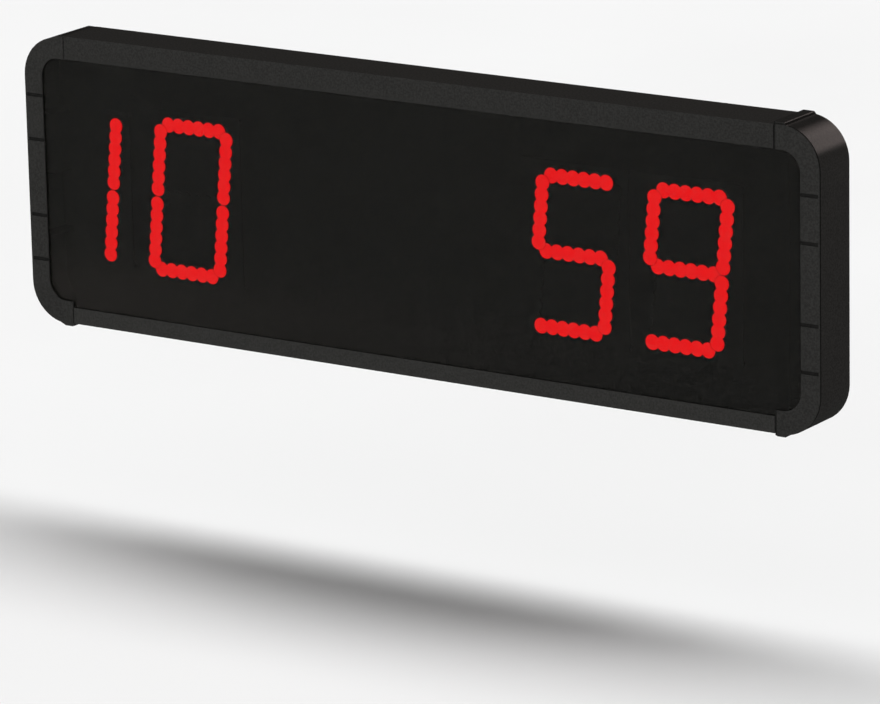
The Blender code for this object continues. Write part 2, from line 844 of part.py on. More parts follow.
def dot_chain(dots):
    """Outline of a row of overlapping discs, as arcs from notch to notch."""
    radius = dot_diameter / 2
    pitch = (dots[1] - dots[0]).length
    along = math.atan2(dots[1].y - dots[0].y, dots[1].x - dots[0].x)
    notch = math.acos(pitch / 2 / radius)
    last = len(dots) - 1
    full = 2 * math.pi
    arcs = [(last, -math.pi + notch, math.pi - notch)]
    arcs += [(k, notch, math.pi - notch) for k in range(last - 1, 0, -1)]
    arcs += [(0, notch, full - notch)]
    arcs += [(k, math.pi + notch, full - notch) for k in range(1, last)]
    step_angle = (math.pi - 2 * notch) / dot_arc_steps
    outline = []
    for k, start, end in arcs:
        steps = round((end - start) / step_angle)
        for step in range(steps):
            angle = along + start + (end - start) * step / steps
            outline.append(dots[k] + radius * Vector((math.cos(angle), math.sin(angle))))
    return outline


def cut_notch(strip, name, dot):
    """Clears a strip away from a neighbour's round end dot."""
    radius = (dot_diameter / 2 + fit_gap) / math.cos(math.pi / dot_notch_sides)
    start = (dot.x, lens_front - overshoot, dot.y)
    end = (dot.x, lens_back + overshoot, dot.y)
    cut(strip, turned(name, start, end, radius, sides=dot_notch_sides))


lit_segments = {"digit_1": "bc", "digit_2": "abcdef", "digit_3": "acdfg", "digit_4": "abcdfg"}


def lens_finish(name, lit):
    if lit:
        return finish(name + "_lit", (0.35, 0.002, 0.005), 0.4, glow=(1.0, 0.003, 0.008))
    return finish(name + "_unlit", (0.012, 0.012, 0.012), 0.4)


def rank(name, segment):
    """Where two segments' dots would overlap, the higher ranked one stays whole."""
    return (segment in lit_segments[name], segment in "bcef")


def figure(name, middle, segments):
    centres = {s: [leaned(dot, middle) for dot in segment_dots(s)] for s in segments}
    for segment, dots in centres.items():
        node = f"{name}_segment_{segment}"
        lit = segment in lit_segments[name]
        strip = prism(node, [dot_chain(dots)], "Y", lens_front, lens_back, lens_finish(node, lit))
        for other, other_dots in centres.items():
            if rank(name, other) <= rank(name, segment):
                continue
            for index, neighbour in enumerate((other_dots[0], other_dots[-1])):
                gaps = [(own - neighbour).length for own in (dots[0], dots[-1])]
                if min(gaps) < dot_diameter + fit_gap:
                    cut_notch(strip, f"{node}_notch_{other}_{index}", neighbour)
    every_dot = [dot for dots in centres.values() for dot in dots]
    margin = dot_diameter / 2 + board_margin
    low_x = min(dot.x for dot in every_dot) - margin
    high_x = max(dot.x for dot in every_dot) + margin
    low_z = min(dot.y for dot in every_dot) - margin
    high_z = max(dot.y for dot in every_dot) + margin
    figure_board(name + "_board", low_x, high_x, low_z, high_z)


def figure_board(name, low_x, high_x, low_z, high_z):
    board = block(
        name,
        (low_x, board_front, low_z),
        (high_x, board_back, high_z),
        finish(name + "_laminate", (0.01, 0.012, 0.011), 0.5),
    )
    for x in (low_x + board_post_inset, high_x - board_post_inset):
        for z in (low_z + board_post_inset, high_z - board_post_inset):
            start = (x, board_back - board_thickness / 2, z)
            end = (x, board_back + board_post_length, z)
            post = turned(f"{name}_post_{x:.3f}_{z:.3f}", start, end, board_post_diameter / 2, sides=6)
            join(board, post)


figure("digit_1", leading_one_place - half_column, "bc")
for digit, middle in figure_places.items():
    figure(digit, middle, "abcdefg")

# Chassis plate in the rails' slots, with a slot for the harness behind each figure

chassis_half_length = half_width - cap_corner_radius - chassis_edge_clearance


def chassis_outline():
    """Full height between the rails' slots, and lower at the ends, inside the caps."""
    quarter = [
        (chassis_half_length, chassis_end_half_height),
        (rail_half_length, chassis_end_half_height),
        (rail_half_length, chassis_half_height),
    ]
    upper = quarter + [(-x, z) for x, z in reversed(quarter)]
    return upper + [(x, -z) for x, z in reversed(upper)]


chassis = prism(
    "chassis_plate",
    [chassis_outline()],
    "Y",
    chassis_front,
    chassis_back,
    finish("chassis_plate_black", (0.012, 0.012, 0.012), 0.5, 0.3),
)
for index, middle in enumerate([leading_one_place, *figure_places.values()]):
    outline = rectangle((middle, figure_centre), harness_slot, harness_slot_radius)
    through = (chassis_front - overshoot, chassis_back + overshoot)
    cut(chassis, prism(f"harness_slot_{index}", [outline], "Y", *through))

# Power supply: a folded cage with vents and a terminal bay


def power_supply():
    width, depth, height = supply_size
    x, z = supply_place
    front_face = chassis_back + fit_gap
    back_face = front_face + depth
    low = (x - width / 2, front_face, z - height / 2)
    high = (x + width / 2, back_face, z + height / 2)
    cage = block("power_supply", low, high, steel("power_supply"))
    bay_floor = back_face - terminal_bay[1]
    bay_low = (low[0] - overshoot, bay_floor, low[2] + supply_wall)
    bay_high = (low[0] + terminal_bay[0], back_face + overshoot, high[2] - supply_wall)
    cut(cage, block("terminal_bay", bay_low, bay_high))
    terminal_x = low[0] + terminal_side_inset
    terminal_low = (terminal_x, bay_floor - overshoot, low[2] + terminal_end_inset)
    terminal_high = (
        terminal_x + terminal_block[0],
        bay_floor + terminal_block[1],
        high[2] - terminal_end_inset,
    )
    join(cage, block("terminal_block", terminal_low, terminal_high))
    first = x + vent_shift - vent_pitch * (vent_count - 1) / 2
    vent_depth = (back_face - supply_wall, back_face + overshoot)
    for row, middle in enumerate((z - height / 4, z + height / 4)):
        for step in range(vent_count):
            outline = rectangle((first + vent_pitch * step, middle), vent_slot, vent_radius)
            cut(cage, prism(f"supply_vent_{row}_{step}", [outline], "Y", *vent_depth))


power_supply()

# Control board: laminate on four posts, with its larger components


def control_board():
    width, height = control_size
    x, z = control_place
    front_face = chassis_back + fit_gap + control_standoff
    back_face = front_face + board_thickness
    low_x = x - width / 2
    high_x = x + width / 2
    low_z = z - height / 2
    high_z = z + height / 2
    board = block(
        "control_board",
        (low_x, front_face, low_z),
        (high_x, back_face, high_z),
        finish("control_board_laminate", (0.01, 0.09, 0.03), 0.5),
    )
    for post_x in (low_x + board_post_inset, high_x - board_post_inset):
        for post_z in (low_z + board_post_inset, high_z - board_post_inset):
            start = (post_x, chassis_back + fit_gap, post_z)
            end = (post_x, front_face + board_thickness / 2, post_z)
            post_name = f"control_post_{post_x:.3f}_{post_z:.3f}"
            join(board, turned(post_name, start, end, control_post_diameter / 2, sides=6))
    inside = back_face - board_thickness / 2
    for part, (across, up, part_width, part_height, part_depth) in control_components.items():
        middle_x = x + across * width
        middle_z = z + up * height
        low = (middle_x - part_width / 2, inside, middle_z - part_height / 2)
        high = (middle_x + part_width / 2, back_face + part_depth, middle_z + part_height / 2)
        join(board, block(part, low, high))
    for index, (across, up) in enumerate(capacitor_places):
        start = (x + across * width, inside, z + up * height)
        end = (x + across * width, back_face + capacitor_height, z + up * height)
        join(board, turned(f"capacitor_{index}", start, end, capacitor_diameter / 2, sides=12))


control_board()

# Rear panel, flush with the rails' backs, and its countersunk screws

panel_half_length = seam - fit_gap
panel_top = half_height - panel_top_edge
panel_bottom = bottom_rear_strip + fit_gap - half_height
rear_panel = block(
    "rear_panel",
    (-panel_half_length, -panel_thickness, panel_bottom),
    (panel_half_length, 0, panel_top),
    finish("rear_panel_coat", (0.03, 0.03, 0.03), 0.5),
)
screw_rows = {
    "top": (top_rail, panel_top - panel_ledge_height / 2),
    "bottom": (bottom_rail, panel_bottom + panel_ledge_height / 2),
}
for row, (threaded_rail, z) in screw_rows.items():
    for index, x in enumerate(panel_screw_places):
        name = f"panel_screw_{row}_{index + 1}"
        sunk_screw(name, x, z, 0, panel_screw)
        cut(rear_panel, countersink(name + "_sink", x, z, 0, panel_screw))
        cut(threaded_rail, screw_hole(name + "_hole", x, z, 0, panel_screw, 0))

# Hangers: steel plates with a keyhole, which slide in the channel

hanger_back = -lip_thickness - fit_gap
hanger_front = hanger_back - hanger_thickness
hanger_height = channel_height - 2 * fit_gap


def keyhole_outline(x, z):
    """Round entry at the bottom, and a narrow slot that rises from it to a round end."""
    entry = keyhole_entry_diameter / 2
    slot = keyhole_slot_width / 2
    entry_z = z - keyhole_rise / 2
    slot_z = entry_z + keyhole_rise
    open_angle = math.asin(slot / entry)
    outline = []
    entry_steps = 14
    for step in range(entry_steps + 1):
        angle = math.pi / 2 + open_angle + (2 * math.pi - 2 * open_angle) * step / entry_steps
        outline.append((x + entry * math.cos(angle), entry_z + entry * math.sin(angle)))
    slot_steps = 6
    for step in range(slot_steps + 1):
        angle = math.pi * step / slot_steps
        outline.append((x + slot * math.cos(angle), slot_z + slot * math.sin(angle)))
    return outline


for side_name, side in sides.items():
    x = side * hanger_place
    name = side_name + "_hanger"
    outline = rectangle((x, channel_middle), (hanger_length, hanger_height), hanger_corner_radius)
    hanger = prism(name, [outline], "Y", hanger_front, hanger_back, steel(name))
    keyhole = keyhole_outline(x, channel_middle)
    through = (hanger_front - overshoot, hanger_back + overshoot)
    cut(hanger, prism(name + "_keyhole", [keyhole], "Y", *through))
    move_origin(hanger, (x, hanger_back, channel_middle))

# Connector bay: one opening in the underside, with a steel plate behind it that carries the fittings

bay_outline = rectangle((bay_place, bay_depth_place), (bay_length, bay_width), bay_radius)
cut(
    bottom_rail,
    prism(
        "bay_opening",
        [bay_outline],
        "Z",
        underside - overshoot,
        underside + web_thickness + overshoot,
    ),
)
plate_size = (bay_length + 2 * connector_plate_margin, bay_width + 2 * connector_plate_margin)
plate_outline = rectangle((bay_place, bay_depth_place), plate_size, bay_radius)
plate_steel = steel("connector_plate")
connector_plate = prism("connector_plate", [plate_outline], "Z", plate_bottom, plate_top, plate_steel)


def fitting(name, x, flange_size, body_size):
    """Flange under the connector plate and a body through it, and the hole in the plate."""
    y = bay_depth_place
    flange = rectangle((x, y), flange_size, flange_radius)
    piece = prism(name, [flange], "Z", flange_bottom, flange_top, black_plastic(name))
    body_low = (x - body_size[0] / 2, y - body_size[1] / 2, flange_bottom + flange_thickness / 2)
    body_high = (x + body_size[0] / 2, y + body_size[1] / 2, flange_bottom + body_size[2])
    join(piece, block(name + "_body", body_low, body_high))
    hole_size = (body_size[0] + 2 * fit_gap, body_size[1] + 2 * fit_gap)
    hole = rectangle((x, y), hole_size)
    through = (plate_bottom - overshoot, plate_top + overshoot)
    cut(connector_plate, prism(name + "_plate_hole", [hole], "Z", *through))
    return piece


def opening_in_flange(name, outline, floor):
    """Cutter that opens a fitting from below its flange up to a floor."""
    return prism(name, [outline], "Z", flange_bottom - overshoot, floor)


def socket_outline(x, y):
    """Appliance inlet opening: a rectangle whose two earth-side corners are cut off."""
    half_x = socket_size[0] / 2
    half_y = socket_size[1] / 2
    return [
        (x - half_x, y + half_y),
        (x - half_x, y - half_y + socket_chamfer),
        (x - half_x + socket_chamfer, y - half_y),
        (x + half_x - socket_chamfer, y - half_y),
        (x + half_x, y - half_y + socket_chamfer),
        (x + half_x, y + half_y),
    ]


def mains_inlet():
    y = bay_depth_place
    inlet = fitting("mains_inlet", inlet_place, inlet_flange, inlet_body)
    socket_x = inlet_place + socket_shift
    socket_floor = flange_bottom + socket_size[2]
    cut(inlet, opening_in_flange("inlet_socket", socket_outline(socket_x, y), socket_floor))
    for index in (-1, 0, 1):
        blade_x = socket_x + index * blade_pitch
        blade_y = y - blade_stagger if index == 0 else y + blade_stagger
        half_x = blade_size[1] / 2
        half_y = blade_size[0] / 2
        low = (blade_x - half_x, blade_y - half_y, socket_floor - blade_size[2])
        high = (blade_x + half_x, blade_y + half_y, socket_floor + overshoot)
        join(inlet, block(f"inlet_blade_{index}", low, high))
    drawer_bay = rectangle((inlet_place + drawer_shift, y), drawer_size[:2])
    drawer_end = flange_bottom + drawer_size[2] + drawer_clearance
    cut(inlet, opening_in_flange("drawer_bay", drawer_bay, drawer_end))


def fuse_drawer():
    y = bay_depth_place
    x = inlet_place + drawer_shift
    half_x = drawer_size[0] / 2 - drawer_clearance
    half_y = drawer_size[1] / 2 - drawer_clearance
    top = flange_bottom + drawer_size[2]
    drawer = block(
        "fuse_drawer",
        (x - half_x, y - half_y, flange_bottom),
        (x + half_x, y + half_y, top),
        black_plastic("fuse_drawer"),
    )
    fuse_z = top - fuse_clearance - fuse_diameter / 2
    trough_half = fuse_diameter / 2 + fuse_clearance
    trough = block(
        "drawer_trough",
        (x - trough_half, y - fuse_length / 2 - fuse_clearance, fuse_z - trough_half),
        (x + trough_half, y + fuse_length / 2 + fuse_clearance, top + overshoot),
    )
    cut(drawer, trough)
    slot_length, slot_width, slot_depth = nail_slot
    slot_back = y + half_y - nail_slot_inset
    slot = block(
        "drawer_nail_slot",
        (x - slot_length / 2, slot_back - slot_width, flange_bottom - overshoot),
        (x + slot_length / 2, slot_back, flange_bottom + slot_depth),
    )
    cut(drawer, slot)
    fuse = turned(
        "fuse",
        (x, y - fuse_length / 2, fuse_z),
        (x, y + fuse_length / 2, fuse_z),
        fuse_diameter / 2,
        sides=12,
        material=finish("fuse_glass", (0.7, 0.7, 0.7), 0.3, 0.6),
    )
    move_origin(drawer, (x, y, flange_bottom))
    move_origin(fuse, (x, y, fuse_z))


def rocker_outline():
    """Side of the level rocker about its pivot, in x and z, with z up into the housing."""
    half = rocker_half_length
    end = rocker_pivot_depth + rocker_end_rise
    middle = rocker_pivot_depth + rocker_middle_rise
    corners = [
        (-half, end, rocker_edge_radius),
        (0, middle, 0),
        (half, end, rocker_edge_radius),
        (half, -rocker_end_drop, rocker_edge_radius),
        (rocker_keel_half_length, -rocker_keel_drop, rocker_keel_radius),
        (-rocker_keel_half_length, -rocker_keel_drop, rocker_keel_radius),
        (-half, -rocker_end_drop, rocker_edge_radius),
    ]
    return [(along, -outwards) for along, outwards in rounded(corners, 3)]


def mains_switch():
    """Switch housing, and its rocker tipped to the ON side about the trunnions."""
    y = bay_depth_place
    housing = fitting("mains_switch", switch_place, switch_flange, switch_body)
    well = rectangle((switch_place, y), rocker_well[:2])
    cut(housing, opening_in_flange("switch_well", well, flange_bottom + rocker_well[2]))
    half_rocker = rocker_width / 2
    plastic = finish("mains_rocker_plastic", (0.02, 0.02, 0.02), 0.35)
    rocker = prism("mains_rocker", [rocker_outline()], "Y", -half_rocker, half_rocker, plastic)
    pivot = Vector((switch_place, y, flange_bottom + rocker_pivot_depth))
    rocker.data.transform(Matrix.Rotation(rocker_tilt, 4, "Y"))
    rocker.location = pivot
    reach = Vector((0, half_rocker + trunnion_length, 0))
    gap = Vector((0, fit_gap, 0))
    pin_radius = trunnion_diameter / 2
    join(rocker, turned("rocker_pin", pivot - reach, pivot + reach, pin_radius))
    seat_start = pivot - reach - gap
    seat_end = pivot + reach + gap
    cut(housing, turned("rocker_seat", seat_start, seat_end, pin_radius + fit_gap))


def setup_buttons():
    housing = fitting("setup_switches", button_place, button_flange, button_body)
    setup_button("setup_button_left", button_place - button_pitch / 2, housing)
    setup_button("setup_button_right", button_place + button_pitch / 2, housing)


def setup_button(name, x, housing):
    """Flanged button in a bore that widens for the flange and its travel, in a dished face."""
    y = bay_depth_place
    radius = button_diameter / 2
    bore_radius = radius + button_clearance
    lip_radius = radius + button_flange_rise
    face = (x, y, flange_bottom)
    top = (x, y, flange_bottom + button_height)
    lip_start = (x, y, flange_bottom + button_height - button_flange_thickness)
    clearance = Vector((0, 0, button_clearance))
    travel_end = Vector(top) + Vector((0, 0, button_travel)) + clearance
    below = (x, y, flange_bottom - overshoot)
    chamber_start = Vector(lip_start) - clearance
    dish_start = (x, y, flange_bottom - button_dish_depth / 2)
    dish_end = (x, y, flange_bottom + button_dish_depth)
    cut(
        housing,
        turned(name + "_bore", below, travel_end, bore_radius),
        turned(name + "_chamber", chamber_start, travel_end, lip_radius + button_clearance),
        turned(name + "_dish", dish_start, dish_end, button_dish_diameter / 2, bore_radius),
    )
    plastic = finish(name + "_plastic", (0.25, 0.25, 0.25), 0.5)
    button = turned(name, face, top, radius, material=plastic)
    join(button, turned(name + "_flange", lip_start, top, lip_radius))
    move_origin(button, face)


def data_socket():
    y = bay_depth_place
    socket = fitting("data_socket", data_place, data_flange, data_body)
    floor = flange_bottom + data_cavity[2]
    opening = rectangle((data_place, y), data_cavity[:2])
    cut(socket, opening_in_flange("data_opening", opening, floor))
    half_latch = data_latch[0] / 2
    latch_front = y - data_cavity[1] / 2 - data_latch[1]
    latch_low = (data_place - half_latch, latch_front, flange_bottom - overshoot)
    cut(socket, block("data_latch_slot", latch_low, (data_place + half_latch, y, floor)))


mains_inlet()
fuse_drawer()
mains_switch()
setup_buttons()
data_socket()

# Every piece is shaded last, over its cuts and joins

shading = smooth_round_faces()
for piece in scoreboard.objects:
    piece.modifiers.new("Smooth round faces", "NODES").node_group = shading
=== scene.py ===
"""Looks of the wall-hung scoreboard: finishes, finer edges, studio and camera.

Metres, +Z up. X runs along the case, its front faces -Y and the wall is the plane y = 0.
"""

import json
import math

import bmesh
import bpy
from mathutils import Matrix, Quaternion, Vector


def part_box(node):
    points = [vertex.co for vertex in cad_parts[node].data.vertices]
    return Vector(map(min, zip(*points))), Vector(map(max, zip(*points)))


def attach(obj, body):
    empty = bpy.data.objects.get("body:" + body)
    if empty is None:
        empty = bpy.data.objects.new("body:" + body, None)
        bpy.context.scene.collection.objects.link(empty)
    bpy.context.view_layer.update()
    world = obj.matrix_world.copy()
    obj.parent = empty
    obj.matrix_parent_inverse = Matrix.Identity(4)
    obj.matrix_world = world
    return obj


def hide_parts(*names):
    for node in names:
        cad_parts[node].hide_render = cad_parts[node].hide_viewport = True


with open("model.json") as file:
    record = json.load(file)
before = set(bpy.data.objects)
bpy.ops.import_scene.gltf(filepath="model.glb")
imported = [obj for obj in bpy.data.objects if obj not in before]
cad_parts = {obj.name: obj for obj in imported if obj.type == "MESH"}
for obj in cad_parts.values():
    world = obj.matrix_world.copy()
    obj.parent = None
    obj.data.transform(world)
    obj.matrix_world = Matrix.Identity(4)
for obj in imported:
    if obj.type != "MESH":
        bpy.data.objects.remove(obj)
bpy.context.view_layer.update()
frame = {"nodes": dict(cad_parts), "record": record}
nodes = frame["nodes"]
slot_of = {part["node"]: part["material_slot"] for part in frame["record"]["subparts"]}
body_of = {node: body for body, members in frame["record"]["behaviour"]["bodies"].items() for node in members}
MM = 0.001


def link_to_scene(name, data):
    thing = bpy.data.objects.new(name, data)
    bpy.context.scene.collection.objects.link(thing)
    return thing


def mesh_of(name, shape):
    """Mesh with what a bmesh holds. The bmesh is freed."""
    mesh = bpy.data.meshes.new(name)
    shape.to_mesh(mesh)
    shape.free()
    return mesh


# Camera, where the photo was taken from

camera_place = (3.9557, -5.9179, 1.7518)
camera_turn_in_degrees = (74.8156, 1.1717, 33.4570)
focal_length_in_pixels = 5726.6
photo_width_in_pixels = 880
sensor_width = 36.0
far_limit = 100


def add_camera():
    lens = bpy.data.cameras.new("camera")
    lens.sensor_width = sensor_width
    lens.lens = focal_length_in_pixels * sensor_width / photo_width_in_pixels
    lens.clip_end = far_limit
    camera = link_to_scene("camera", lens)
    camera.location = camera_place
    camera.rotation_euler = [math.radians(angle) for angle in camera_turn_in_degrees]
    bpy.context.scene.camera = camera


# Shader values as Python expressions

colour_mix_sockets = (0, 6, 7)
red_gain = 0.15


class Value:
    """A number or colour that a material's nodes work out. Arithmetic on it adds Math nodes."""

    def __init__(self, surface, socket):
        self.surface = surface
        self.socket = socket

    def __add__(self, other):
        return self.surface.maths("ADD", self, other)

    def __radd__(self, other):
        return self.surface.maths("ADD", other, self)

    def __sub__(self, other):
        return self.surface.maths("SUBTRACT", self, other)

    def __rsub__(self, other):
        return self.surface.maths("SUBTRACT", other, self)

    def __mul__(self, other):
        return self.surface.maths("MULTIPLY", self, other)

    def __rmul__(self, other):
        return self.surface.maths("MULTIPLY", other, self)

    def __truediv__(self, other):
        return self.surface.maths("DIVIDE", self, other)

    def __gt__(self, other):
        return self.surface.maths("GREATER_THAN", self, other)

    def __lt__(self, other):
        return self.surface.maths("LESS_THAN", self, other)


class Surface:
    """One material. Its methods add nodes, and dress feeds what they work out to the shader."""

    def __init__(self, name, **constants):
        self.material = bpy.data.materials.new(name)
        self.material.use_nodes = True
        self.tree = self.material.node_tree
        self.shader = self.tree.nodes["Principled BSDF"]
        self.place = self.node("ShaderNodeTexCoord")["Object"]
        self.dress(**constants)

    def node(self, kind, settings=None, inputs=None):
        """Adds a node, sets it, feeds its sockets, and returns its outputs by name."""
        made = self.tree.nodes.new(kind)
        for key, setting in (settings or {}).items():
            setattr(made, key, setting)
        for key, thing in (inputs or {}).items():
            self.feed(made.inputs[key], thing)
        return {socket.name: Value(self, socket) for socket in made.outputs if socket.enabled}

    def feed(self, socket, thing):
        if isinstance(thing, Value):
            self.tree.links.new(thing.socket, socket)
        else:
            socket.default_value = thing

    def dress(self, **finish):
        """Feeds the shader's sockets, named like base_color for Base Color."""
        for name, thing in finish.items():
            socket = name.replace("_", " ").title().replace("Ior", "IOR")
            self.feed(self.shader.inputs[socket], thing)

    def maths(self, operation, *terms):
        return self.node("ShaderNodeMath", {"operation": operation}, dict(enumerate(terms)))["Value"]

    def mix(self, share, first, second):
        """Colour between two, where share is 0 to 1."""
        inputs = dict(zip(colour_mix_sockets, (share, first, second)))
        return self.node("ShaderNodeMix", {"data_type": "RGBA"}, inputs)["Result"]

    def noise(self, size, detail=2.0, stretch=(1, 1, 1)):
        """Cloudy value from 0 to 1 whose patches are about size across, in metres."""
        place = self.node("ShaderNodeMapping", inputs={"Vector": self.place, "Scale": stretch})
        inputs = {"Vector": place["Vector"], "Scale": 1 / size, "Detail": detail}
        return self.node("ShaderNodeTexNoise", inputs=inputs)["Fac"]

    def axis(self, name):
        """How far along X, Y or Z a point is, in metres."""
        return self.node("ShaderNodeSeparateXYZ", inputs={"Vector": self.place})[name]

    def facing(self, name):
        """How far the surface faces along X, Y or Z, from -1 to 1."""
        normal = self.node("ShaderNodeNewGeometry")["Normal"]
        return self.node("ShaderNodeSeparateXYZ", inputs={"Vector": normal})[name]

    def ramp(self, value, low, high):
        """0 where the value is under low, 1 over high, and a smooth rise between."""
        inputs = {"Value": value, "From Min": low, "From Max": high}
        return self.node("ShaderNodeMapRange", {"interpolation_type": "SMOOTHSTEP"}, inputs)["Result"]

    def bump(self, height, depth):
        """Grain whose height, from 0 to 1, stands for that depth in metres."""
        relief = self.node("ShaderNodeBump", inputs={"Height": height, "Distance": depth})["Normal"]
        self.dress(normal=relief)


def weighted(first, second, share):
    """Sum of two values, of which the first counts for share."""
    return share * first + (1 - share) * second


def between(value, low, high):
    """Number that goes from low to high as the value goes from 0 to 1."""
    return low + (high - low) * value


def grey(level, warmth=0.0):
    """Colour of that brightness, a little yellower where warmth is above 0."""
    return (level * (1 + red_gain * warmth), level, level * (1 - warmth), 1)


def around(level, spread, warmth=0.0):
    """Two greys, spread below and above a level, as shares of it."""
    return grey(level * (1 - spread), warmth), grey(level * (1 + spread), warmth)


# Where a finish changes and where shade or light is painted: how far a face looks up or forward, and how deep
# a point lies

flat_top_from = 0.72
flat_top_to = 0.95
shoulder_from = 0.30
shoulder_to = 0.52
looks_forward = 0.5
looks_inward = 0.3
# Depths and heights that bound the caps' painted shade and painted light; the collar's upper edge is left out
# of the painted shade.
recess_from = 0.4 * MM
recess_to = 0.8 * MM
lip_depth = 3.2 * MM
unshaded_edge = 0.9 * MM
step_height = 3.3 * MM
lens_face_depth = 0.1 * MM
fuse_cap_length = 5.5 * MM


def on_flat_top(surface):
    """1 on faces that look straight up."""
    return surface.ramp(surface.facing("Z"), flat_top_from, flat_top_to)


def polished(surface):
    """1 on the rounded shoulders that hands polish, and 0 on flat tops, upright and lower faces."""
    on_shoulder = surface.ramp(surface.facing("Z"), shoulder_from, shoulder_to)
    return on_shoulder * (1 - on_flat_top(surface))


def behind_front(cap):
    """How far a point lies behind the end caps' front, in metres."""
    return cap.axis("Y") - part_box("right_end_cap")[0].y


def in_recess(cap):
    """1 on the floors of the grooves and lines that are cut into a cap's front, where shade is painted."""
    faces_front = cap.facing("Y") < -looks_forward
    return faces_front * cap.ramp(behind_front(cap), recess_from, recess_to)


def on_inner_lip(cap):
    """1 on the thin lip of a cap's window opening, where it faces the middle of the board and light is
    painted.
    """
    faces_middle = cap.axis("X") * cap.facing("X") < -looks_inward
    return faces_middle * (behind_front(cap) < lip_depth)


def on_step(cap):
    """1 on the small step at the end of the highest collar, short of its upper edge, where shade is painted.
    """
    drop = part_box("right_end_cap")[1].z - cap.axis("Z")
    slopes = cap.facing("Z") < flat_top_to
    return slopes * (drop > unshaded_edge) * (drop < step_height)


# Finishes

coat_level = 0.0235
coat_spread = 0.25
coat_warmth = 0.05
coat_shine = 0.8
# Painted light on the lower rail.
low_rail_painted_light = 0.22
plastic_level = 0.0245
# Painted shade on the caps' flat tops.
flat_top_painted_shade = 0.72
# Painted shade in the caps' grooves and lines and on the collar's step.
recess_painted_shade = 0.5
# Painted light on the caps' inner lip.
lip_painted_light = 2.5
window_cover = 0.5
window_level = 0.0086
window_spread = 0.9
window_warmth = 0.15
lamp_strength = 3.0
side_paint_level = 0.003
deep_glow = (0.95, 0.0004, 0.004, 1)
bright_glow = (1.0, 0.006, 0.007, 1)
lens_red = (0.03, 0.001, 0.001, 1)
bare_green = (0.006, 0.06, 0.022, 1)
track_green = (0.012, 0.11, 0.04, 1)
track_from = 0.55
dull_zinc = (0.46, 0.46, 0.45, 1)
bright_zinc = (0.68, 0.68, 0.66, 1)
clear_glass = (0.5, 0.55, 0.52, 1)
plated_brass = (0.62, 0.62, 0.6, 1)


def speckle(surface, size):
    """Even grain from 0 to 1 with more contrast than plain noise."""
    return surface.ramp(surface.noise(size, detail=3), low=0.3, high=0.7)


def mottled(surface, share, level):
    """Warm black that share moves about its level."""
    return surface.mix(share, *around(level, coat_spread, coat_warmth))


def powder_coat(name, painted_lower_light=0.0):
    """Matt black coat with a fine grain. Below mid-height it can be painted a little paler, as painted light.
    """
    coat = Surface(name, specular_ior_level=0.0, coat_ior=1.12, coat_roughness=0.42)
    cloud = coat.noise(size=60 * MM, detail=3)
    grain = speckle(coat, size=2.5 * MM)
    peel = coat.noise(size=0.7 * MM)
    share = weighted(cloud, grain, share=0.2)
    upper = mottled(coat, share, coat_level)
    lower = mottled(coat, share, coat_level * (1 + painted_lower_light))
    # Painted light: below mid-height the coat is paler, as if more light fell there.
    coat.dress(base_color=coat.mix(coat.axis("Z") < 0, upper, lower))
    coat.dress(roughness=between(grain, low=0.55, high=0.7))
    coat.dress(coat_weight=coat_shine * polished(coat))
    coat.bump(weighted(grain, peel, share=0.4), depth=0.05 * MM)
    return coat.material


def rail_coat(name):
    """Powder coat of the two rails, the lower of which is painted paler, as painted light."""
    return powder_coat(name, low_rail_painted_light)


def moulded_cap(name):
    """Black moulding with an even grain, which shines softly where a light meets its corners. Its flat tops,
    grooves and collar step carry painted shade, and its inner lip painted light.
    """
    cap = Surface(name, specular_ior_level=0.0, coat_ior=1.08, coat_roughness=0.25)
    cloud = cap.noise(size=45 * MM)
    grain = speckle(cap, size=2.4 * MM)
    leather = cap.noise(size=0.6 * MM)
    share = weighted(cloud, grain, share=0.2)
    shaded = cap.maths("MAXIMUM", in_recess(cap), on_step(cap))
    colour = mottled(cap, share, plastic_level)
    # Painted light: the inner lip is lighter than its shade would make it.
    colour = cap.mix(on_inner_lip(cap), colour, mottled(cap, share, plastic_level * lip_painted_light))
    # Painted shade: flat tops are darker.
    colour = cap.mix(on_flat_top(cap), colour, mottled(cap, share, plastic_level * flat_top_painted_shade))
    # Painted shade: grooves, lines and the collar's step are darker.
    colour = cap.mix(shaded, colour, mottled(cap, share, plastic_level * recess_painted_shade))
    cap.dress(base_color=colour)
    cap.dress(roughness=between(grain, low=0.5, high=0.65))
    cap.dress(coat_weight=polished(cap) * (1 - shaded))
    cap.bump(weighted(grain, leather, share=0.4), depth=0.03 * MM)
    return cap.material


def black_moulding(name, level=0.02, roughness=0.45):
    """Black engineering plastic of the sockets and switches."""
    plastic = Surface(name, specular_ior_level=0.25)
    cloud = plastic.noise(size=12 * MM)
    grain = plastic.noise(size=0.5 * MM, detail=3)
    share = weighted(cloud, grain, share=0.3)
    plastic.dress(base_color=plastic.mix(share, *around(level, spread=0.25)))
    plastic.dress(roughness=between(grain, low=roughness - 0.05, high=roughness + 0.05))
    plastic.bump(grain, depth=0.02 * MM)
    return plastic.material


def rocker_plastic(name):
    """The same plastic with a shinier face."""
    return black_moulding(name, level=0.022, roughness=0.28)


def button_plastic(name):
    """The same plastic in grey."""
    return black_moulding(name, level=0.2)


